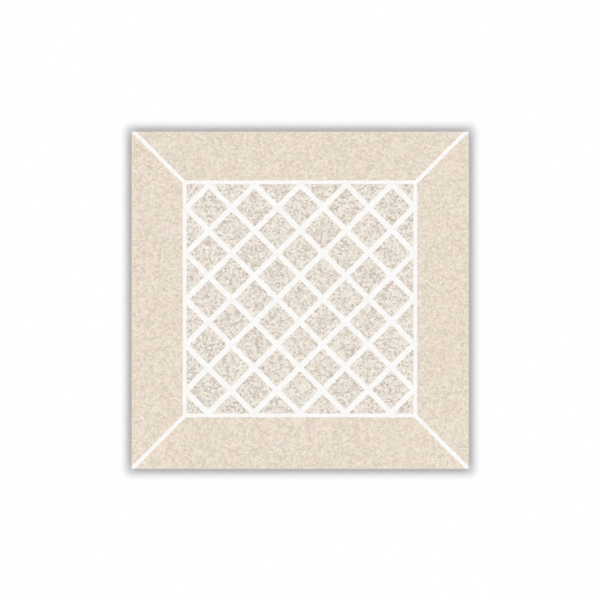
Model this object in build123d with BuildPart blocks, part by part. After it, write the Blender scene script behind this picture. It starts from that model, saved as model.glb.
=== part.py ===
"""A dry-pressed red body floor tile: square, flat glazed face, keyed back for the adhesive bed."""

import os

from build123d import *

# Outline and section, in mm
tile_side = 300.0
tile_thickness = 8.0
corner_radius = 1.5
face_edge_radius = 0.8
back_edge_chamfer = 1.0

# Keyed back: square recesses between a grid of ribs, inside a plain margin
key_count = 10
key_depth = 0.8
key_corner_radius = 2.5
key_draft_angle = 30.0
rib_width = 3.5
back_margin = 8.0

key_pitch = (tile_side - 2 * back_margin + rib_width) / key_count
key_side = key_pitch - rib_width

# One recess, narrowing upwards so that the punch draws out of the clay
with BuildPart() as key_recess:
    with BuildSketch():
        RectangleRounded(key_side, key_side, key_corner_radius)
    extrude(amount=key_depth, taper=key_draft_angle)

# The tile lies on its back with the glazed face up, centred over the origin
with BuildPart() as tile:
    with BuildSketch():
        RectangleRounded(tile_side, tile_side, corner_radius)
    extrude(amount=tile_thickness)
    fillet(tile.faces().sort_by(Axis.Z)[-1].edges(), radius=face_edge_radius)
    chamfer(tile.faces().sort_by(Axis.Z)[0].edges(), length=back_edge_chamfer)
    with GridLocations(key_pitch, key_pitch, key_count, key_count):
        add(key_recess.part, mode=Mode.SUBTRACT)

tile.part.label = "tile"
os.makedirs("parts", exist_ok=True)
export_step(tile.part, "parts/tile.step")
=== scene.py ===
"""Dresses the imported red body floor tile: printed satin face, clay sides, keyed back, white studio."""

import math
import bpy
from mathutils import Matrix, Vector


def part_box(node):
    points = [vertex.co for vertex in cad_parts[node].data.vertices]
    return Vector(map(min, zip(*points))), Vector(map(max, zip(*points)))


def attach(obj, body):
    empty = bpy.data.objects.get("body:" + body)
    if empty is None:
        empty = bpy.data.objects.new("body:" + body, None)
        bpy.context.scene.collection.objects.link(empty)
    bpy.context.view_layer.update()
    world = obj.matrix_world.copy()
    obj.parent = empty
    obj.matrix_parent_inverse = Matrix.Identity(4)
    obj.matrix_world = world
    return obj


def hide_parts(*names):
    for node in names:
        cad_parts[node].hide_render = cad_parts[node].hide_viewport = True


bl_info = {
    "name": "Red Body Floor Tile",
    "version": (1, 0, 0),
    "blender": (4, 5, 0),
    "location": "View3D > Sidebar > Tile",
    "description": "Builds a glazed red clay floor tile on its packed frame, and a plain studio around it",
    "category": "Add Mesh",
}

import bmesh
import bpy
from bpy.props import FloatProperty, FloatVectorProperty, IntProperty, PointerProperty
from bpy.types import NodeSocket, Operator, Panel, PropertyGroup
from mathutils import Vector

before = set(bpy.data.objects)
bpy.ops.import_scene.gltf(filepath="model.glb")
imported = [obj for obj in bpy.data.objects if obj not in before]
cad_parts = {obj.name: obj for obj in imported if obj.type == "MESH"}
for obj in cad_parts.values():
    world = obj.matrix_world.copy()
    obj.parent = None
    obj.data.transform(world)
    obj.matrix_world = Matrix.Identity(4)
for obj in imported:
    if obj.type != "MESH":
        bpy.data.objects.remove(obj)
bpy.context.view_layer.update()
TILE_LOW, TILE_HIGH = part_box("tile")

MM = 0.001
QUARTER_TURN = math.radians(90)

# The tile's place in the photograph, in pixels of its square picture
PHOTO_SIDE_PX = 600
TILE_SIDE_PX = 337.5
TILE_CENTRE_PX = 300.25

# Material slots of the tile's mesh, in order
BORDER, CENTRE, LINES, EDGE, BACK = range(5)

# Corners of a square as signs of x and y, counter-clockwise from above, and the corners that end each side
CORNERS = ((1, 1), (-1, 1), (-1, -1), (1, -1))
SIDES = ((0, 1), (1, 2), (2, 3), (3, 0))

# How far x and y each go in a step of one along a diagonal
DIAGONAL = math.sqrt(0.5)

# Fineness of the mesh: steps round an upright corner, over the rim and round a recess's corner
CORNER_STEPS = 6
RIM_STEPS = 6
KEY_CORNER_STEPS = 4

# Edges that turn by less than this are shaded as round
SMOOTH_LIMIT = math.radians(30)

# A cut goes through any point that it would pass nearer than this, so that it leaves no slivers
CUT_TOLERANCE = 0.05 * MM

# Points this near to the height of the face lie on it
FLAT_TOLERANCE = 0.001 * MM

# The studio's paper lies this far under the tile, so that no two faces share a place
PAPER_GAP = 0.02 * MM

# The texture map's name
MAP_NAME = "OFBake"

# Areas of the texture map as left, bottom, width and height: the face gets most of it
FACE_AREA = (0.005, 0.265, 0.73, 0.73)
BACK_AREA = (0.75, 0.265, 0.245, 0.73)
SIDE_AREA = (0.005, 0.005, 0.99, 0.25)

# How much of its row on the map each side of the tile fills
SIDE_ROW_SHARE = 0.9

# Side faces whose normal rises or falls by less than this stand upright
UPRIGHT_LIMIT = 0.005

# Glaze and fired clay refract about as window glass does
CERAMIC_IOR = 1.5
BARE_CLAY_ROUGHNESS = 0.88


def linear(hex_colour):
    """Linear RGBA of an sRGB colour written as #RRGGBB."""
    channels = [int(hex_colour[i:i + 2], 16) / 255 for i in (1, 3, 5)]
    return tuple(c / 12.92 if c <= 0.04045 else ((c + 0.055) / 1.055) ** 2.4 for c in channels) + (1.0,)


PLAIN_WHITE = linear("#FFFFFF")


def length(name, description, millimetres):
    """A length that a user may change, kept in metres."""
    return FloatProperty(
        name=name, description=description, default=millimetres * MM, unit="LENGTH", precision=5
    )


def share(name, description, default):
    """A share from 0 to 1 that a user may change."""
    return FloatProperty(name=name, description=description, default=default, subtype="FACTOR", min=0, max=1)


def colour(name, description, hex_colour):
    """A colour that a user may change."""
    return FloatVectorProperty(
        name=name, description=description, default=linear(hex_colour), subtype="COLOR", size=4, min=0, max=1
    )


class TileBody(PropertyGroup):
    """Sizes of the pressed clay body"""

    side: length("Side", "Side of the square tile", (TILE_HIGH.x - TILE_LOW.x) / MM)
    thickness: length("Thickness", "From the ribs of the back to the face", (TILE_HIGH.z - TILE_LOW.z) / MM)
    corner_radius: length("Corner radius", "Rounding of the four upright corners", 1.5)
    face_edge_radius: length("Face edge radius", "Rounding of the rim round the face", 0.8)
    back_edge_chamfer: length("Back edge chamfer", "Bevel round the back", 1.0)
    key_count: IntProperty(name="Keys", description="Recesses along a side of the back", default=10, min=1)
    key_depth: length("Key depth", "Depth of the recesses in the back", 0.8)
    key_corner_radius: length("Key corner radius", "Rounding of the recesses seen from below", 2.5)
    key_draft: FloatProperty(
        name="Key draft", description="Slope of the recesses' walls", default=math.radians(30),
        subtype="ANGLE",
    )
    rib_width: length("Rib width", "Width of the ribs between the recesses", 3.5)
    back_margin: length("Back margin", "Plain strip between the side and the first recess", 8.0)


class TilePrint(PropertyGroup):
    """Sizes of the printed pattern on the face"""

    frame_width: length("Frame width", "Between the middles of the upright frame lines", 205.0)
    frame_height: length("Frame height", "Between the middles of the level frame lines", 207.2)
    frame_line: length("Frame line", "Width of the frame's lines", 3.0)
    mitre_line: length("Mitre line", "Width of the lines from the frame out to the tile's corners", 3.2)
    mitre_drop: length("Mitre drop", "How far the mitres lie below the frame's corners", 0.4)
    falling_pitch: length("Falling pitch", "Between middles of lattice lines falling to the right", 28.84)
    rising_pitch: length("Rising pitch", "Between middles of lattice lines rising to the right", 28.6)
    lattice_line: length("Lattice line", "Width of the lattice lines", 4.5)
    shift_x: length("Shift across", "How far to the right the print missed the tile's middle", -0.22)
    shift_y: length("Shift up", "How far upwards the print missed the tile's middle", 1.28)
    line_depth: length("Line depth", "How far the bare white lines lie under the speckled fields", 0.12)
    line_shoulder: length("Line shoulder", "Width of the slope from field to line", 0.3)
    fray: length("Fray", "Swing of the fields' ragged edges along the white lines", 1.5)
    fray_size: length("Fray size", "Size of the bites in the fields' ragged edges", 0.9)


class BorderField(PropertyGroup):
    """Speckled beige of the border"""

    dark: colour("Border dark", "Darkest grains of the border", "#D5C7B5")
    middle: colour("Border middle", "Common grains of the border", "#E5D8C8")
    pale: colour("Border pale", "Palest grains of the border", "#F5E9DA")
    grain: length("Border grain", "Size of the common grains of the border", 1.75)
    blotch: length("Border blotch", "Size of the patches in which the border's hue wanders", 12.0)
    tint: share("Border tint", "How far the hue of the border wanders", 0.022)


class CentreField(PropertyGroup):
    """Speckled grey of the lattice's cells"""

    dark: colour("Centre dark", "Darkest grains of the centre", "#BCB1A4")
    middle: colour("Centre middle", "Common grains of the centre", "#E4DBD0")
    pale: colour("Centre pale", "Palest grains of the centre", "#FAF3E9")
    grain: length("Centre grain", "Size of the common grains of the centre", 1.7)
    blotch: length("Centre blotch", "Size of the patches in which the centre's hue wanders", 7.0)
    tint: share("Centre tint", "How far the hue of the centre wanders", 0.04)


class TileColours(PropertyGroup):
    """Colours of the base glaze and the clay"""

    line_white: colour("Line white", "White base glaze of the lines", "#FDFCFA")
    line_shade: colour("Line shade", "White base glaze where it is thin", "#FAF8F5")
    rim_cream: colour("Rim cream", "Base glaze on the rim, past the print", "#E7E2D6")
    engobe: colour("Engobe", "White slip between clay and glaze", "#EDE6DC")
    clay_dark: colour("Clay dark", "Iron specks and pores of the clay", "#6E3D2C")
    clay_middle: colour("Clay middle", "Fired red clay", "#A2614A")
    clay_pale: colour("Clay pale", "Pale grog grains of the clay", "#C0917A")
    kiln_wash: colour("Kiln wash", "Refractory dust on the ribs of the back", "#D9C6B6")


class TileStudio(PropertyGroup):
    """Camera and light of the plain studio"""

    lens: FloatProperty(name="Lens", description="Focal length of the camera", default=100.0, unit="CAMERA")
    softbox_height: length("Softbox height", "How far over and under the floor the softboxes hang", 2000)
    softbox_reach: length("Softbox reach", "Distance of the softboxes from the tile along the floor", 2000)
    softbox_width: length("Softbox width", "Long side of a softbox", 3600)
    softbox_depth: length("Softbox depth", "Short side of a softbox", 1800)
    softbox_power: FloatProperty(
        name="Softbox power", description="Power of each softbox", default=34.0, unit="POWER", min=0
    )
    ambient: FloatProperty(
        name="Ambient", description="Strength of the light from all round", default=0.05, min=0
    )
    # Grey and cool, this colour shows only close round the tile, where it is painted shade: it deepens the
    # shadow the softboxes cast and takes the pink of light bounced off the clay out of it
    paper: colour("Paper", "Cool white paper on the floor under the tile", "#DEE2E3")
    paper_side: length("Paper side", "Side of the paper on the floor", 8000)
    paper_lap: length("Paper lap", "How far the paper reaches under the tile, round the window in it", 2.0)
    # Between these distances the painted shade round the tile fades into plain white
    painted_shade_fade_start: length("Plain start", "Distance from the tile where the paper starts to turn white", 1.6)
    painted_shade_end: length("Plain end", "Distance from the tile where the paper is plain white", 12.2)


def add_node(tree, kind, inputs=None, result=None, stops=(), **settings):
    """Adds a node with its settings, ramp stops and inputs by identifier; returns the output asked for."""
    node = tree.nodes.new(kind)
    for name, value in settings.items():
        setattr(node, name, value)
    for number, (place, value) in enumerate(stops):
        elements = node.color_ramp.elements
        element = elements[number] if number < len(elements) else elements.new(place)
        element.position = place
        element.color = value
    sockets = {socket.identifier: socket for socket in node.inputs}
    for name, value in (inputs or {}).items():
        if isinstance(value, NodeSocket):
            tree.links.new(value, sockets[name])
        else:
            sockets[name].default_value = value
    return next((s for s in node.outputs if s.enabled and result in (None, s.name)), None)


def empty_material(name):
    """A material with an empty node tree."""
    material = bpy.data.materials.new(name)
    material.use_nodes = True
    material.node_tree.nodes.clear()
    return material


def past_frame(tree, place, design, drop=0.0):
    """How far a place lies outside the frame's lines along x and along y; less than nothing is inside."""
    middle = (design.shift_x, design.shift_y - drop, 0)
    half = (design.frame_width / 2, design.frame_height / 2, 0)
    spot = add_node(
        tree, "ShaderNodeVectorMath", {"Vector": place, "Vector_001": middle}, operation="SUBTRACT"
    )
    folded = add_node(tree, "ShaderNodeVectorMath", {"Vector": spot}, operation="ABSOLUTE")
    past = add_node(
        tree, "ShaderNodeVectorMath", {"Vector": folded, "Vector_001": half}, operation="SUBTRACT"
    )
    axes = add_node(tree, "ShaderNodeSeparateXYZ", {"Vector": past}).node.outputs
    return axes["X"], axes["Y"]


def frame_gap(tree, place, design):
    """How far a place lies from the edge of the frame's line."""
    past_x, past_y = past_frame(tree, place, design)
    past = add_node(tree, "ShaderNodeMath", {"Value": past_x, "Value_001": past_y}, operation="MAXIMUM")
    off = add_node(tree, "ShaderNodeMath", {"Value": past}, operation="ABSOLUTE")
    return add_node(
        tree, "ShaderNodeMath", {"Value": off, "Value_001": design.frame_line / 2}, operation="SUBTRACT"
    )


def border_gap(tree, place, design):
    """How far a place outside the frame lies from the edge of the nearest white line."""
    past_x, past_y = past_frame(tree, place, design, design.mitre_drop)
    slip = add_node(tree, "ShaderNodeMath", {"Value": past_x, "Value_001": past_y}, operation="SUBTRACT")
    off = add_node(tree, "ShaderNodeMath", {"Value": slip}, operation="ABSOLUTE")
    mitre_gap = add_node(
        tree, "ShaderNodeMath",
        {"Value": off, "Value_001": DIAGONAL, "Value_002": -design.mitre_line / 2}, operation="MULTIPLY_ADD",
    )
    return add_node(
        tree, "ShaderNodeMath",
        {"Value": frame_gap(tree, place, design), "Value_001": mitre_gap}, operation="MINIMUM",
    )


def centre_gap(tree, place, design):
    """How far a place inside the frame lies from the edge of the nearest white line."""
    middle = (design.shift_x, design.shift_y, 0)
    spot = add_node(
        tree, "ShaderNodeVectorMath", {"Vector": place, "Vector_001": middle}, operation="SUBTRACT"
    )
    gap = frame_gap(tree, place, design)
    for slant, pitch in ((1, design.falling_pitch), (-1, design.rising_pitch)):
        across = (DIAGONAL, slant * DIAGONAL, 0)
        offset = add_node(
            tree, "ShaderNodeVectorMath", {"Vector": spot, "Vector_001": across}, operation="DOT_PRODUCT"
        )
        off_cell = add_node(
            tree, "ShaderNodeMath", {"Value": offset, "Value_001": pitch / 2}, operation="PINGPONG"
        )
        line_gap = add_node(
            tree, "ShaderNodeMath",
            {"Value": (pitch - design.lattice_line) / 2, "Value_001": off_cell}, operation="SUBTRACT",
        )
        gap = add_node(tree, "ShaderNodeMath", {"Value": gap, "Value_001": line_gap}, operation="MINIMUM")
    return gap


def printed_share(tree, place, design, gap):
    """1 where the print laid its grit down and 0 along the white lines, with a ragged edge between."""
    # White bites into the field where the noise is over bite_start; elsewhere the field reaches its line
    bite_start = 0.4
    soft = 0.06 * MM
    edge = -bite_start * design.fray
    bites = add_node(
        tree, "ShaderNodeTexNoise", {"Vector": place, "Scale": 1 / design.fray_size, "Detail": 2.0}
    )
    left = add_node(
        tree, "ShaderNodeMath", {"Value": bites, "Value_001": -design.fray, "Value_002": gap},
        operation="MULTIPLY_ADD",
    )
    return add_node(
        tree, "ShaderNodeMapRange", {"Value": left, "From Min": edge - soft, "From Max": edge + soft}
    )


def speckled_glaze(name, field, design, white, gap_to_line):
    """Satin floor glaze, screen printed with ceramic grit that fused into it in the kiln."""
    # The eye gets ragged, soft-edged grains in tones of one colour, frayed along the white lines, with a hue
    # that wanders a little and a dull sheen that long waves in the glaze make uneven
    grain = field.grain
    grain_softness = 0.35
    fine_share = 0.4
    tone_stops = (0.1, 0.45, 0.9)
    satin, dull = 0.38, 0.5
    grain_height = 0.03 * MM
    wave = 25 * MM
    wave_height = 0.1 * MM
    material = empty_material(name)
    tree = material.node_tree
    place = add_node(tree, "ShaderNodeTexCoord", result="Object")
    swirl = add_node(
        tree, "ShaderNodeTexNoise", {"Vector": place, "Scale": 1 / grain, "Detail": 2.0}, result="Color"
    )
    ragged = add_node(
        tree, "ShaderNodeVectorMath",
        {"Vector": swirl, "Vector_001": (grain, grain, 0), "Vector_002": place}, operation="MULTIPLY_ADD",
    )
    picks = []
    for size in (grain, grain / 2):
        cells = add_node(
            tree, "ShaderNodeTexVoronoi",
            {"Vector": ragged, "Scale": 1 / size, "Smoothness": grain_softness},
            result="Color", voronoi_dimensions="2D", feature="SMOOTH_F1",
        )
        picks.append(add_node(tree, "ShaderNodeSeparateColor", {"Color": cells}, result="Red"))
    coarse, fine = picks
    tone = add_node(tree, "ShaderNodeMix", {"Factor_Float": fine_share, "A_Float": coarse, "B_Float": fine})
    tones = (field.dark, field.middle, field.pale)
    grains = add_node(tree, "ShaderNodeValToRGB", {"Fac": tone}, stops=zip(tone_stops, tones))
    hues = add_node(
        tree, "ShaderNodeTexNoise", {"Vector": place, "Scale": 1 / field.blotch, "Detail": 2.0},
        result="Color",
    )
    tinted = add_node(
        tree, "ShaderNodeMix", {"Factor_Float": field.tint, "A_Color": grains, "B_Color": hues},
        data_type="RGBA", blend_type="LINEAR_LIGHT",
    )
    printed = printed_share(tree, place, design, gap_to_line(tree, place, design))
    skin = add_node(
        tree, "ShaderNodeMix", {"Factor_Float": printed, "A_Color": white, "B_Color": tinted},
        data_type="RGBA",
    )
    rough = add_node(tree, "ShaderNodeMapRange", {"Value": fine, "To Min": satin, "To Max": dull})
    swell = add_node(tree, "ShaderNodeTexNoise", {"Vector": place, "Scale": 1 / wave, "Detail": 1.0})
    waves = add_node(tree, "ShaderNodeBump", {"Height": swell, "Strength": 0.5, "Distance": wave_height})
    relief = add_node(
        tree, "ShaderNodeBump", {"Height": tone, "Strength": 0.4, "Distance": grain_height, "Normal": waves}
    )
    shader = add_node(
        tree, "ShaderNodeBsdfPrincipled",
        {"Base Color": skin, "Roughness": rough, "IOR": CERAMIC_IOR, "Normal": relief},
    )
    add_node(tree, "ShaderNodeOutputMaterial", {"Surface": shader})
    return material


def white_base_glaze(colours, body):
    """White base glaze, fired smooth and left bare by the print along its lines."""
    # The eye gets a clean white that is shinier than the fields, with a faint ripple; it thins out to cream
    # where it runs over the rim
    gloss = 0.33
    ripple = 6 * MM
    ripple_height = 0.02 * MM
    thin, thick = 0.35, 0.55
    rim_foot = body.thickness - body.face_edge_radius
    material = empty_material("white_base_glaze")
    tree = material.node_tree
    place = add_node(tree, "ShaderNodeTexCoord", result="Object")
    cloud = add_node(tree, "ShaderNodeTexNoise", {"Vector": place, "Scale": 1 / ripple, "Detail": 4.0})
    white = add_node(
        tree, "ShaderNodeValToRGB", {"Fac": cloud},
        stops=((thin, colours.line_shade), (thick, colours.line_white)),
    )
    height = add_node(tree, "ShaderNodeSeparateXYZ", {"Vector": place}, result="Z")
    on_face = add_node(
        tree, "ShaderNodeMapRange",
        {"Value": height, "From Min": rim_foot, "From Max": rim_foot + body.face_edge_radius / 2},
    )
    skin = add_node(
        tree, "ShaderNodeMix", {"Factor_Float": on_face, "A_Color": colours.rim_cream, "B_Color": white},
        data_type="RGBA",
    )
    relief = add_node(tree, "ShaderNodeBump", {"Height": cloud, "Strength": 0.3, "Distance": ripple_height})
    shader = add_node(
        tree, "ShaderNodeBsdfPrincipled",
        {"Base Color": skin, "Roughness": gloss, "IOR": CERAMIC_IOR, "Normal": relief},
    )
    add_node(tree, "ShaderNodeOutputMaterial", {"Surface": shader})
    return material


def fired_clay(tree, place, colours):
    """Colour and relief of dry-pressed red clay, fired without a glaze."""
    # The eye gets fine even grit with some pale grog and dark iron specks, a little cloudy from the kiln
    speck = 0.3 * MM
    speck_softness = 0.3
    speck_stops = (0.05, 0.25, 0.75, 0.95)
    grit = 0.25 * MM
    grit_height = 0.08 * MM
    grit_dark, grit_pale = 0.75, 1.25
    cloud = 14 * MM
    cloud_dark, cloud_pale = 0.86, 1.12
    swirl = add_node(
        tree, "ShaderNodeTexNoise", {"Vector": place, "Scale": 1 / speck, "Detail": 2.0}, result="Color"
    )
    ragged = add_node(
        tree, "ShaderNodeVectorMath",
        {"Vector": swirl, "Vector_001": (speck, speck, speck), "Vector_002": place},
        operation="MULTIPLY_ADD",
    )
    cells = add_node(
        tree, "ShaderNodeTexVoronoi", {"Vector": ragged, "Scale": 1 / speck, "Smoothness": speck_softness},
        result="Color", feature="SMOOTH_F1",
    )
    pick = add_node(tree, "ShaderNodeSeparateColor", {"Color": cells}, result="Red")
    tones = (colours.clay_dark, colours.clay_middle, colours.clay_middle, colours.clay_pale)
    specks = add_node(tree, "ShaderNodeValToRGB", {"Fac": pick}, stops=zip(speck_stops, tones))
    height = add_node(tree, "ShaderNodeTexNoise", {"Vector": place, "Scale": 1 / grit, "Detail": 3.0})
    haze = add_node(tree, "ShaderNodeTexNoise", {"Vector": place, "Scale": 1 / cloud, "Detail": 6.0})
    fine = add_node(tree, "ShaderNodeMapRange", {"Value": height, "To Min": grit_dark, "To Max": grit_pale})
    broad = add_node(tree, "ShaderNodeMapRange", {"Value": haze, "To Min": cloud_dark, "To Max": cloud_pale})
    shade = add_node(tree, "ShaderNodeMath", {"Value": fine, "Value_001": broad}, operation="MULTIPLY")
    clay = add_node(
        tree, "ShaderNodeMix", {"Factor_Float": 1.0, "A_Color": specks, "B_Color": shade},
        data_type="RGBA", blend_type="MULTIPLY",
    )
    relief = add_node(tree, "ShaderNodeBump", {"Height": height, "Strength": 0.5, "Distance": grit_height})
    return clay, relief


def glazed_clay_edge(colours, body):
    """Side of the tile: glaze that ran over the rim, white engobe under it, then bare pressed clay."""
    # The eye gets a wavy satin cream lip, a thin white line below it and dull red clay down to the back
    satin = 0.4
    drip = 5 * MM
    sway = 1.0 * MM
    glaze_drop = 1.3 * MM
    engobe_drop = 1.75 * MM
    soft = 0.12 * MM
    material = empty_material("glazed_clay_edge")
    tree = material.node_tree
    place = add_node(tree, "ShaderNodeTexCoord", result="Object")
    clay, relief = fired_clay(tree, place, colours)
    height = add_node(tree, "ShaderNodeSeparateXYZ", {"Vector": place}, result="Z")
    runs = add_node(tree, "ShaderNodeTexNoise", {"Vector": place, "Scale": 1 / drip, "Detail": 5.0})
    swayed = add_node(
        tree, "ShaderNodeMath", {"Value": runs, "Value_001": sway, "Value_002": height},
        operation="MULTIPLY_ADD",
    )
    masks = []
    for drop in (engobe_drop, glaze_drop):
        end = body.thickness + sway / 2 - drop
        masks.append(add_node(
            tree, "ShaderNodeMapRange", {"Value": swayed, "From Min": end - soft, "From Max": end + soft}
        ))
    coated, glazed = masks
    under = add_node(
        tree, "ShaderNodeMix", {"Factor_Float": coated, "A_Color": clay, "B_Color": colours.engobe},
        data_type="RGBA",
    )
    skin = add_node(
        tree, "ShaderNodeMix", {"Factor_Float": glazed, "A_Color": under, "B_Color": colours.rim_cream},
        data_type="RGBA",
    )
    rough = add_node(
        tree, "ShaderNodeMapRange", {"Value": glazed, "To Min": BARE_CLAY_ROUGHNESS, "To Max": satin}
    )
    shader = add_node(
        tree, "ShaderNodeBsdfPrincipled",
        {"Base Color": skin, "Roughness": rough, "IOR": CERAMIC_IOR, "Normal": relief},
    )
    add_node(tree, "ShaderNodeOutputMaterial", {"Surface": shader})
    return material


def keyed_clay_back(colours, body):
    """Back of the tile: bare pressed clay, with refractory dust from the kiln rollers on the ribs."""
    # The eye gets dull red clay in the recesses and pale, blotchy ribs round them
    patch = 25 * MM
    dust_start, dust_full = 0.4, 0.65
    dust_cover = 0.75
    material = empty_material("keyed_clay_back")
    tree = material.node_tree
    place = add_node(tree, "ShaderNodeTexCoord", result="Object")
    clay, relief = fired_clay(tree, place, colours)
    height = add_node(tree, "ShaderNodeSeparateXYZ", {"Vector": place}, result="Z")
    on_rib = add_node(
        tree, "ShaderNodeMapRange",
        {"Value": height, "From Max": body.key_depth / 2, "To Min": 1.0, "To Max": 0.0},
    )
    blotch = add_node(tree, "ShaderNodeTexNoise", {"Vector": place, "Scale": 1 / patch, "Detail": 8.0})
    spread = add_node(
        tree, "ShaderNodeMapRange",
        {"Value": blotch, "From Min": dust_start, "From Max": dust_full, "To Max": dust_cover},
    )
    dust = add_node(tree, "ShaderNodeMath", {"Value": on_rib, "Value_001": spread}, operation="MULTIPLY")
    skin = add_node(
        tree, "ShaderNodeMix", {"Factor_Float": dust, "A_Color": clay, "B_Color": colours.kiln_wash},
        data_type="RGBA",
    )
    shader = add_node(
        tree, "ShaderNodeBsdfPrincipled",
        {"Base Color": skin, "Roughness": BARE_CLAY_ROUGHNESS, "IOR": CERAMIC_IOR, "Normal": relief},
    )
    add_node(tree, "ShaderNodeOutputMaterial", {"Surface": shader})
    return material


def tile_materials(scene):
    """The tile's materials in the order of its slots."""
    design, colours, body = scene.tile_print, scene.tile_colours, scene.tile_body
    white = colours.line_white
    return (
        speckled_glaze("beige_speckled_glaze", scene.tile_border, design, white, border_gap),
        speckled_glaze("grey_speckled_glaze", scene.tile_centre, design, white, centre_gap),
        white_base_glaze(colours, body),
        glazed_clay_edge(colours, body),
        keyed_clay_back(colours, body),
    )


def add_face(bm, corners, slot, smooth=False):
    """Adds a face in a material slot."""
    face = bm.faces.new(corners)
    face.material_index = slot
    face.smooth = smooth
    return face


def rounded_ring(bm, x, y, z, half, radius, steps):
    """Vertices round a square with rounded corners, steps + 1 of them at each corner."""
    ring = []
    reach = half - radius
    for corner, (sx, sy) in enumerate(CORNERS):
        for step in range(steps + 1):
            angle = QUARTER_TURN * (corner + step / steps)
            ring.append(bm.verts.new((
                x + sx * reach + radius * math.cos(angle), y + sy * reach + radius * math.sin(angle), z
            )))
    return ring


def rectangle(bm, middle, width, height):
    """Four vertices in the order of CORNERS."""
    return [
        bm.verts.new((middle.x + sx * width / 2, middle.y + sy * height / 2, middle.z)) for sx, sy in CORNERS
    ]


def bridge(bm, lower, upper, slot):
    """Joins two rings of as many vertices with a smooth band of quads."""
    quads = zip(lower, lower[1:] + lower[:1], upper[1:] + upper[:1], upper)
    return [add_face(bm, quad, slot, smooth=True) for quad in quads]


def corner_to_corner(ring, corner):
    """The stretch of an outline ring from the middle of one corner to the middle of the next."""
    start = corner * (CORNER_STEPS + 1) + CORNER_STEPS // 2
    return [ring[(start + i) % len(ring)] for i in range(CORNER_STEPS + 2)]


def make_sides(bm, body):
    """Bevel, side and rim; returns the rings that bound the back and the face, and the faces of the rim."""
    half = body.side / 2
    radius = body.face_edge_radius
    profile = [(body.back_edge_chamfer, 0.0), (0.0, body.back_edge_chamfer)]
    for step in range(RIM_STEPS + 1):
        angle = QUARTER_TURN * step / RIM_STEPS
        profile.append((radius * (1 - math.cos(angle)), body.thickness - radius * (1 - math.sin(angle))))
    rings = [
        rounded_ring(bm, 0, 0, z, half - inset, body.corner_radius - inset, CORNER_STEPS)
        for inset, z in profile
    ]
    bevel, foot, top, *rounds = rings
    bridge(bm, bevel, foot, EDGE)
    bridge(bm, foot, top, EDGE)
    rim = [face for lower, upper in zip([top, *rounds], rounds) for face in bridge(bm, lower, upper, EDGE)]
    return bevel, rounds[-1], rim


def make_recess(bm, body, x, y, half, around):
    """One recess of the back, and the ribs round it out to the four vertices around it."""
    steps = KEY_CORNER_STEPS
    draw_in = body.key_depth * math.tan(body.key_draft)
    mouth = rounded_ring(bm, x, y, 0, half, body.key_corner_radius, steps)
    floor = rounded_ring(bm, x, y, body.key_depth, half - draw_in, body.key_corner_radius - draw_in, steps)
    for corner, after in SIDES:
        first = corner * (steps + 1)
        arc = mouth[first:first + steps + 1]
        next_arc_start = mouth[(first + steps + 1) % len(mouth)]
        add_face(bm, (around[corner], *reversed(arc)), BACK)
        add_face(bm, (around[corner], arc[-1], next_arc_start, around[after]), BACK)
    bridge(bm, floor, mouth, BACK)
    add_face(bm, floor, BACK)


def make_back(bm, body, outline):
    """Ribs and recesses of the back, inside its plain margin."""
    count = body.key_count
    pitch = (body.side - 2 * body.back_margin + body.rib_width) / count
    half = (pitch - body.rib_width) / 2
    lines = [(i - count / 2) * pitch for i in range(count + 1)]
    grid = [[bm.verts.new((x, y, 0)) for y in lines] for x in lines]
    for i in range(count):
        for j in range(count):
            x, y = (lines[i] + lines[i + 1]) / 2, (lines[j] + lines[j + 1]) / 2
            around = (grid[i + 1][j + 1], grid[i][j + 1], grid[i][j], grid[i + 1][j])
            make_recess(bm, body, x, y, half, around)
    far = [grid[i][count] for i in range(count + 1)]
    left = [grid[0][j] for j in range(count + 1)]
    near = [grid[i][0] for i in reversed(range(count + 1))]
    right = [grid[count][j] for j in reversed(range(count + 1))]
    for corner, inner in enumerate((far, left, near, right)):
        add_face(bm, (*corner_to_corner(outline, corner), *inner), BACK)


def cut(bm, faces, point, across):
    """Cuts faces along the plane through point and square to across; returns all of their parts."""
    edges = dict.fromkeys(edge for face in faces for edge in face.edges)
    verts = dict.fromkeys(vert for face in faces for vert in face.verts)
    parts = bmesh.ops.bisect_plane(
        bm, geom=[*faces, *edges, *verts], dist=CUT_TOLERANCE, plane_co=point, plane_no=across
    )
    return [part for part in parts["geom"] if isinstance(part, bmesh.types.BMFace)]


def line_clearance(design, middle, spot):
    """How far a spot of the face lies outside the nearest white line; less than nothing is inside it."""
    x, y = spot.x - middle.x, spot.y - middle.y
    past = max(abs(x) - design.frame_width / 2, abs(y) - design.frame_height / 2)
    off_frame = abs(past) - design.frame_line / 2
    if past > 0:
        slip = (abs(x) - design.frame_width / 2) - (abs(y + design.mitre_drop) - design.frame_height / 2)
        return min(off_frame, abs(slip) * DIAGONAL - design.mitre_line / 2)
    offsets = ((x + y) * DIAGONAL, (x - y) * DIAGONAL)
    pitches = (design.falling_pitch, design.rising_pitch)
    off_lattice = min(abs(offset % pitch - pitch / 2) for offset, pitch in zip(offsets, pitches))
    return min(off_frame, off_lattice - design.lattice_line / 2)


def edges_of_line(width, shoulder):
    """Where a line's slopes start and end, measured from its middle."""
    reach = width / 2
    bottom = reach - shoulder
    return -reach, -bottom, bottom, reach


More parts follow.
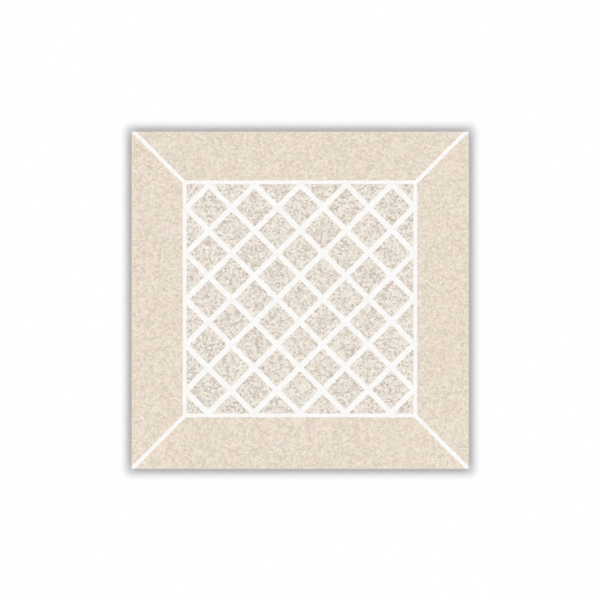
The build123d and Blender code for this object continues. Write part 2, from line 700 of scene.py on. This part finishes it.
def make_border(bm, design, middle, outline, frame_rings, rim):
    """Border panels and the frame's outer slope, cut along the mitres, which run out over the rim."""
    outer, core = frame_rings
    panels = []
    slopes = []
    for corner, after in SIDES:
        stretch = corner_to_corner(outline, corner)
        panels.append([add_face(bm, (*stretch, outer[after], outer[corner]), BORDER)])
        slopes.append([add_face(bm, (outer[corner], outer[after], core[after], core[corner]), LINES)])

    # Each mitre crosses the two panels that meet at its corner, and the rim beyond them
    half = Vector((design.frame_width / 2, design.frame_height / 2, 0))
    drop = Vector((0, design.mitre_drop, 0))
    for corner, (sx, sy) in enumerate(CORNERS):
        start = middle + half * Vector((sx, sy, 0)) - drop
        across = Vector((-sy, sx, 0)).normalized()
        nearby = [face for face in rim if any(sx * v.co.x > 0 and sy * v.co.y > 0 for v in face.verts)]
        rim = [face for face in rim if face not in nearby]
        for side in edges_of_line(design.mitre_line, design.line_shoulder):
            point = start + across * side
            for parts in (panels, slopes):
                for panel in (corner, corner - 1):
                    parts[panel] = cut(bm, parts[panel], point, across)
            nearby = cut(bm, nearby, point, across)
        rim += nearby

    # The seams between panels run inside the mitres, where nothing should divide the line
    owners = {face: corner for corner, panel in enumerate(panels) for face in panel}
    seams = [
        edge for edge in bm.edges
        if len(edge.link_faces) == 2 and all(face in owners for face in edge.link_faces)
        and owners[edge.link_faces[0]] != owners[edge.link_faces[1]]
    ]
    bmesh.ops.dissolve_edges(bm, edges=seams, use_verts=True)


def make_lattice(bm, design, middle, frame_rings):
    """The frame's inner slope and the field inside it, cut along the lattice lines."""
    core, inner = frame_rings
    field = [add_face(bm, inner, CENTRE)]
    for corner, after in SIDES:
        field.append(add_face(bm, (core[corner], core[after], inner[after], inner[corner]), CENTRE))
    corner_reach = (design.frame_width + design.frame_height) / 2 * DIAGONAL
    for slant, pitch in ((1, design.falling_pitch), (-1, design.rising_pitch)):
        across = Vector((1, slant, 0)).normalized()
        count = math.ceil(corner_reach / pitch)
        for number in range(-count, count):
            for side in edges_of_line(design.lattice_line, design.line_shoulder):
                place = (number + 0.5) * pitch + side
                field = cut(bm, field, middle + across * place, across)


def make_face(bm, body, design, outline, rim):
    """The printed face: border, frame and lattice, with the lines sunk a little under the fields."""
    middle = Vector((design.shift_x, design.shift_y, body.thickness))
    rings = [
        rectangle(bm, middle, design.frame_width + 2 * side, design.frame_height + 2 * side)
        for side in reversed(edges_of_line(design.frame_line, design.line_shoulder))
    ]
    for corner, after in SIDES:
        add_face(bm, (rings[1][corner], rings[1][after], rings[2][after], rings[2][corner]), LINES)
    make_border(bm, design, middle, outline, rings[:2], rim)
    make_lattice(bm, design, middle, rings[2:])
    for face in bm.faces:
        spot = face.calc_center_median()
        if spot.z > body.thickness - body.face_edge_radius and line_clearance(design, middle, spot) < 0:
            face.material_index = LINES
    for vert in bm.verts:
        on_face = vert.co.z > body.thickness - FLAT_TOLERANCE
        if on_face and line_clearance(design, middle, vert.co) < -design.line_shoulder / 2:
            vert.co.z -= design.line_depth


def flat_spots(face, body):
    """Where the corners of a level face lie on its area of the map, as shares of the area."""
    return [(loop.vert.co.x / body.side + 0.5, loop.vert.co.y / body.side + 0.5) for loop in face.loops]


def unrolled_spots(face, body):
    """Where the corners of a side face lie on the sides' area, with bevel and rim folded flat."""
    low, high = -body.back_edge_chamfer, body.thickness + body.face_edge_radius
    middle = face.calc_center_median()
    outward = 0 if abs(middle.x) > abs(middle.y) else 1
    row = 2 * outward + (middle[outward] > 0)
    leans = abs(face.normal.z) > UPRIGHT_LIMIT
    spots = []
    for loop in face.loops:
        place = loop.vert.co
        inset = body.side / 2 - abs(place[outward])
        climb = place.z + math.copysign(inset, face.normal.z) if leans else place.z
        up = (row + SIDE_ROW_SHARE * (climb - low) / (high - low)) / len(SIDES)
        spots.append((place[1 - outward] / body.side + 0.5, up))
    return spots


def lay_out_map(bm, body):
    """Lays the face, the back and the four unrolled sides out on the texture map."""
    layer = bm.loops.layers.uv.new(MAP_NAME)
    for face in bm.faces:
        if face.material_index == BACK:
            area, spots = BACK_AREA, flat_spots(face, body)
        elif face.smooth:
            area, spots = SIDE_AREA, unrolled_spots(face, body)
        else:
            area, spots = FACE_AREA, flat_spots(face, body)
        left, bottom, width, height = area
        for loop, (across, up) in zip(face.loops, spots):
            loop[layer].uv = (left + width * across, bottom + height * up)


def tile_mesh(body, design):
    """The whole tile as one closed mesh."""
    bm = bmesh.new()
    back_outline, face_outline, rim = make_sides(bm, body)
    make_back(bm, body, back_outline)
    make_face(bm, body, design, face_outline, rim)
    bmesh.ops.recalc_face_normals(bm, faces=bm.faces)
    if not all(edge.is_manifold for edge in bm.edges):
        raise RuntimeError("the tile's mesh isn't closed")
    for edge in bm.edges:
        edge.smooth = edge.calc_face_angle() < SMOOTH_LIMIT
    lay_out_map(bm, body)
    mesh = bpy.data.meshes.new("floor_tile")
    bm.to_mesh(mesh)
    bm.free()
    return mesh


def seen_directly(tree):
    """1 for rays that show the backdrop as it looks: from the camera, mirrored or through glass."""
    rays = add_node(tree, "ShaderNodeLightPath").node.outputs
    bounced = add_node(
        tree, "ShaderNodeMath",
        {"Value": rays["Is Glossy Ray"], "Value_001": rays["Is Transmission Ray"]}, operation="MAXIMUM",
    )
    return add_node(
        tree, "ShaderNodeMath", {"Value": rays["Is Camera Ray"], "Value_001": bounced}, operation="MAXIMUM"
    )


def paper_with_painted_shade(studio, body):
    """Matt studio paper on the floor, with painted shade round the tile."""
    # The eye gets a soft grey shadow round the tile, partly cast by the softboxes and partly painted shade:
    # the paper shows grey only near the tile and turns plain white a little further out
    material = empty_material("paper_with_painted_shade")
    tree = material.node_tree
    half = body.side / 2
    place = add_node(tree, "ShaderNodeTexCoord", result="Object")
    folded = add_node(tree, "ShaderNodeVectorMath", {"Vector": place}, operation="ABSOLUTE")
    past = add_node(
        tree, "ShaderNodeVectorMath", {"Vector": folded, "Vector_001": (half, half, 0)}, operation="SUBTRACT"
    )
    outside = add_node(
        tree, "ShaderNodeVectorMath", {"Vector": past, "Vector_001": (0, 0, 0)}, operation="MAXIMUM"
    )
    away = add_node(tree, "ShaderNodeVectorMath", {"Vector": outside}, operation="LENGTH")
    # Painted shade: the paper keeps its grey close to the tile and is lifted to plain white further out, for
    # rays that see it directly
    far = add_node(
        tree, "ShaderNodeMapRange",
        {"Value": away, "From Min": studio.painted_shade_fade_start, "From Max": studio.painted_shade_end},
        interpolation_type="SMOOTHSTEP",
    )
    plain = add_node(
        tree, "ShaderNodeMath", {"Value": far, "Value_001": seen_directly(tree)}, operation="MULTIPLY"
    )
    # Grey paper, which is painted shade where it shows close round the tile
    paper = add_node(tree, "ShaderNodeBsdfDiffuse", {"Color": studio.paper})
    white = add_node(tree, "ShaderNodeEmission", {"Color": PLAIN_WHITE, "Strength": 1.0})
    mix = add_node(tree, "ShaderNodeMixShader", {"Fac": plain, "Shader": paper, "Shader_001": white})
    add_node(tree, "ShaderNodeOutputMaterial", {"Surface": mix})
    return material


def make_floor(scene, studio, body):
    """A sheet of paper under the tile, grey with painted shade close round it and white further out, with a
    window that shows the tile's back from below.
    """
    bm = bmesh.new()
    middle = Vector((0, 0, -PAPER_GAP))
    window_side = body.side - 2 * studio.paper_lap
    sheet, window = [rectangle(bm, middle, side, side) for side in (studio.paper_side, window_side)]
    for corner, after in SIDES:
        bm.faces.new((sheet[corner], sheet[after], window[after], window[corner]))
    mesh = bpy.data.meshes.new("floor")
    bm.to_mesh(mesh)
    bm.free()
    mesh.materials.append(paper_with_painted_shade(studio, body))
    floor = bpy.data.objects.new("floor", mesh)
    scene.collection.objects.link(floor)


def make_softboxes(scene, studio):
    """Softboxes on the four diagonals, as for copying a flat picture: over the floor and again under it."""
    for level, height in (("over", studio.softbox_height), ("under", -studio.softbox_height)):
        for number, (sx, sy) in enumerate(CORNERS):
            light = bpy.data.lights.new(f"softbox_{level}_{number}", "AREA")
            light.shape = "RECTANGLE"
            light.size = studio.softbox_width
            light.size_y = studio.softbox_depth
            light.energy = studio.softbox_power
            softbox = bpy.data.objects.new(light.name, light)
            place = Vector((sx, sy, 0)).normalized() * studio.softbox_reach
            softbox.location = place + Vector((0, 0, height))
            softbox.rotation_euler = (-softbox.location).to_track_quat("-Z", "Y").to_euler()
            softbox.visible_camera = False
            scene.collection.objects.link(softbox)


def make_world(scene, studio):
    """Faint light from all round; what shows of the world is plain white."""
    world = bpy.data.worlds.new("white_studio")
    world.use_nodes = True
    tree = world.node_tree
    tree.nodes.clear()
    fill = add_node(tree, "ShaderNodeBackground", {"Color": PLAIN_WHITE, "Strength": studio.ambient})
    white = add_node(tree, "ShaderNodeBackground", {"Color": PLAIN_WHITE, "Strength": 1.0})
    mix = add_node(
        tree, "ShaderNodeMixShader", {"Fac": seen_directly(tree), "Shader": fill, "Shader_001": white}
    )
    add_node(tree, "ShaderNodeOutputWorld", {"Surface": mix})
    scene.world = world


def make_camera(scene, studio, body):
    """Long lens straight over the tile, which fills as much of the picture as in the photograph."""
    data = bpy.data.cameras.new("camera")
    data.lens = studio.lens
    pixel = body.side / TILE_SIDE_PX
    height = PHOTO_SIDE_PX * pixel * data.lens / data.sensor_width
    off_centre = (TILE_CENTRE_PX - PHOTO_SIDE_PX / 2) * pixel
    camera = bpy.data.objects.new("camera", data)
    camera.location = (-off_centre, off_centre, body.thickness + height)
    scene.collection.objects.link(camera)
    scene.camera = camera


class TILE_OT_make_floor_tile(Operator):
    """Builds the tile in place of its plain solid"""

    bl_idname = "tile.make_floor_tile"
    bl_label = "Floor tile"

    def execute(self, context):
        scene = context.scene
        mesh = tile_mesh(scene.tile_body, scene.tile_print)
        for material in tile_materials(scene):
            mesh.materials.append(material)
        tile = bpy.data.objects.new("floor_tile", mesh)
        scene.collection.objects.link(tile)
        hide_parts("tile")
        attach(tile, "root")
        return {"FINISHED"}


class TILE_OT_make_studio(Operator):
    """Sets up the white floor, the softboxes, the light from all round and the camera"""

    bl_idname = "tile.make_studio"
    bl_label = "Studio"

    def execute(self, context):
        scene = context.scene
        studio, body = scene.tile_studio, scene.tile_body
        scene.view_settings.view_transform = "Standard"
        make_floor(scene, studio, body)
        make_softboxes(scene, studio)
        make_world(scene, studio)
        make_camera(scene, studio, body)
        return {"FINISHED"}


class TILE_PT_panel(Panel):
    """Sizes, colours and buttons of the tile"""

    bl_idname = "TILE_PT_panel"
    bl_label = "Red Body Floor Tile"
    bl_space_type = "VIEW_3D"
    bl_region_type = "UI"
    bl_category = "Tile"

    def draw(self, context):
        for operator, groups in PANEL_BOXES:
            box = self.layout.box()
            for group in groups:
                for name in GROUPS[group].__annotations__:
                    box.prop(getattr(context.scene, group), name)
            box.operator(operator.bl_idname)


GROUPS = {
    "tile_body": TileBody,
    "tile_print": TilePrint,
    "tile_border": BorderField,
    "tile_centre": CentreField,
    "tile_colours": TileColours,
    "tile_studio": TileStudio,
}
PANEL_BOXES = (
    (TILE_OT_make_floor_tile, ("tile_body", "tile_print", "tile_border", "tile_centre", "tile_colours")),
    (TILE_OT_make_studio, ("tile_studio",)),
)
CLASSES = (*GROUPS.values(), TILE_OT_make_floor_tile, TILE_OT_make_studio, TILE_PT_panel)


def register():
    """Makes the settings, buttons and panel known."""
    for cls in CLASSES:
        bpy.utils.register_class(cls)
    for name, group in GROUPS.items():
        setattr(bpy.types.Scene, name, PointerProperty(type=group))


def unregister():
    """Takes the settings, buttons and panel away again."""
    for name in GROUPS:
        delattr(bpy.types.Scene, name)
    for cls in reversed(CLASSES):
        bpy.utils.unregister_class(cls)


def main():
    """Builds the tile and its studio."""
    register()
    bpy.ops.tile.make_floor_tile()
    bpy.ops.tile.make_studio()


if __name__ == "__main__":
    main()
